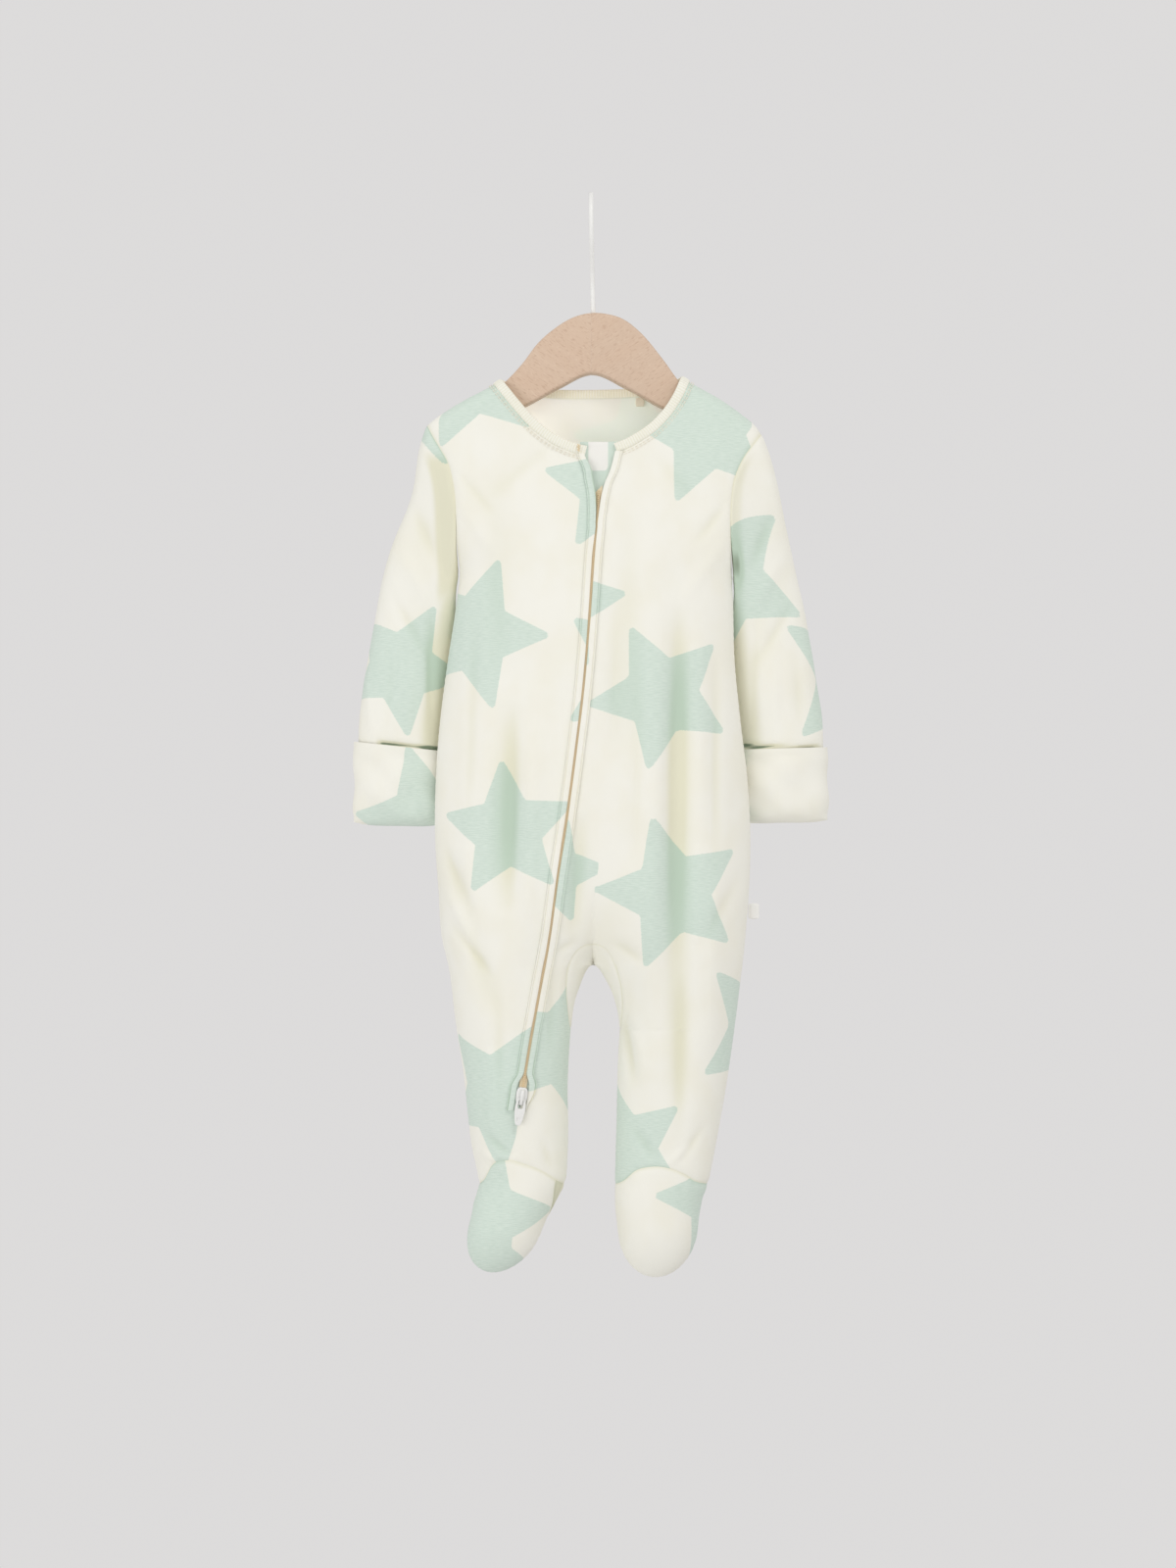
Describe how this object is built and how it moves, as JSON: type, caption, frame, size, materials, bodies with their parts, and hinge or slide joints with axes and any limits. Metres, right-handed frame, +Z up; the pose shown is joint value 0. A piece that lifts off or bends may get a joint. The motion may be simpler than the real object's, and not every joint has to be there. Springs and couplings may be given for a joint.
{
  "type": "baby sleepsuit on hanger",
  "caption": "Footed baby sleepsuit in star-printed cotton with fold-over mitts and a zip from neck to ankle, hanging on a small wooden hanger with a wire hook",
  "frame": {"origin": "Inner top of the hook's loop, where it sits on the rail, midway across the wire.", "axes": "+Z up along the hanging suit, +X to the viewer's right, along the hanger and across the rail's front, +Y to the suit's back; the zip faces -Y."},
  "size_m": [0.2922, 0.07, 0.6651],
  "materials": {
    "printed_cotton": "cream interlock cotton printed with mint stars",
    "plain_rib": "plain cream rib and folded binding",
    "mint_cotton": "mint interlock cotton",
    "beech": "clear satin varnish",
    "white_paint": "satin white coated wire",
    "zip_tape": "woven tape with small moulded teeth",
    "zip_enamel": "white enamelled zinc"
  },
  "bodies": {
    "suit": {"front_left": "printed_cotton", "front_right": "mint_cotton", "back": "printed_cotton", "gusset": "printed_cotton", "sleeve_left": "printed_cotton", "sleeve_right": "printed_cotton", "cuff_left": "plain_rib", "cuff_right": "plain_rib", "neckband": "plain_rib", "neck_loop": "plain_rib", "placket_left": "plain_rib", "placket_right": "plain_rib", "zip_chain": "zip_tape", "zip_guard": "mint_cotton", "zip_slider": "zip_enamel", "toe_cap_left": "mint_cotton", "toe_cap_right": "mint_cotton", "sole_left": "printed_cotton", "sole_right": "printed_cotton", "side_label": "plain_rib", "hanger_left": "beech", "hanger_right": "beech", "hook": "white_paint"},
    "pull": {"zip_pull": "zip_enamel"}
  },
  "joints": [
    {"name": "pull_swing", "type": "hinge", "parent": "suit", "child": "pull", "pos_m": [-0.04326, -0.02705, -0.55043], "axis": [-0.9869, -0.0806, 0.1396], "range_deg": [0, 150]}
  ]
}
